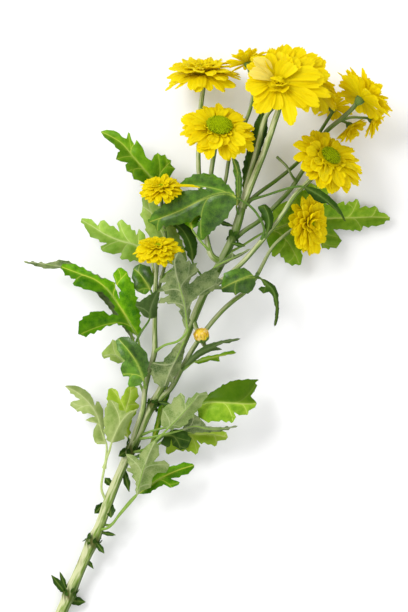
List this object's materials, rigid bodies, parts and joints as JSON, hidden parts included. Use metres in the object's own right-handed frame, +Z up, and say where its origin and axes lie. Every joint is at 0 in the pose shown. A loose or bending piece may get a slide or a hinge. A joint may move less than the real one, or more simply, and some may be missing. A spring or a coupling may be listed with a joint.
{
  "type": "pompon chrysanthemum spray",
  "caption": "Cut spray of yellow chrysanthemums with layered petals round green discs, on a branched leafy stem, lying on a surface.",
  "frame": {"origin": "middle of the bounding box's underside, on the surface that the spray lies on", "axes": "+Z up from the surface toward the viewer of the picture, +Y along the spray from the cut end toward the blooms, +X to the right as the picture shows it"},
  "size_m": [0.2466, 0.403, 0.0754],
  "materials": {
    "stem_green": "pale green ribbed stem, darker at its nodes",
    "leaf_green": "soft green leaf, paler and downy underneath",
    "petal_yellow": "satin bright yellow petal",
    "disc_green": "grained yellow-green disc",
    "bud_yellow": "closed orange-yellow bud"
  },
  "bodies": {
    "root": {"stem": "stem_green", "bloom_front_petals": "petal_yellow", "bloom_front_disc": "disc_green", "bloom_right_petals": "petal_yellow", "bloom_right_disc": "disc_green", "bloom_top_left_petals": "petal_yellow", "bloom_top_left_disc": "disc_green", "bloom_top_middle_petals": "petal_yellow", "bloom_top_middle_disc": "disc_green", "bloom_crown_petals": "petal_yellow", "bloom_crown_disc": "disc_green", "bloom_crown_back_petals": "petal_yellow", "bloom_crown_back_disc": "disc_green", "bloom_corner_high_petals": "petal_yellow", "bloom_corner_high_disc": "disc_green", "bloom_corner_side_petals": "petal_yellow", "bloom_corner_side_disc": "disc_green", "bloom_corner_back_petals": "petal_yellow", "bloom_corner_back_disc": "disc_green", "bloom_corner_low_petals": "petal_yellow", "bloom_corner_low_disc": "disc_green", "bloom_lower_right_petals": "petal_yellow", "bloom_lower_right_disc": "disc_green", "bloom_left_high_petals": "petal_yellow", "bloom_left_high_disc": "disc_green", "bloom_left_low_petals": "petal_yellow", "bloom_left_low_disc": "disc_green", "leaf_upper_left": "leaf_green", "leaf_big_front": "leaf_green", "leaf_left_pale": "leaf_green", "leaf_left_long": "leaf_green", "leaf_left_behind": "leaf_green", "leaf_left_broad": "leaf_green", "leaf_left_toothed": "leaf_green", "leaf_dark_round": "leaf_green", "leaf_big_grey": "leaf_green", "leaf_grey_folded": "leaf_green", "leaf_grey_lower": "leaf_green", "leaf_right_blades": "leaf_green", "leaf_narrow_dark": "leaf_green", "leaf_pale_behind": "leaf_green", "leaf_broad_dark": "leaf_green", "leaf_drooping": "leaf_green", "leaf_narrow_pale": "leaf_green", "leaf_curled": "leaf_green", "leaf_right_narrow": "leaf_green", "leaf_right_big": "leaf_green", "leaf_low_left": "leaf_green", "leaf_low_left_fold": "leaf_green", "leaf_low_left_bright": "leaf_green", "leaf_right_pale": "leaf_green", "leaf_right_green": "leaf_green", "leaf_right_serrated": "leaf_green", "leaf_right_yellow": "leaf_green", "leaf_right_dark": "leaf_green", "leaf_low_right": "leaf_green", "leaf_low_right_yellow": "leaf_green", "leaf_crown_dark": "leaf_green", "bud": "bud_yellow"}
  },
  "joints": []
}
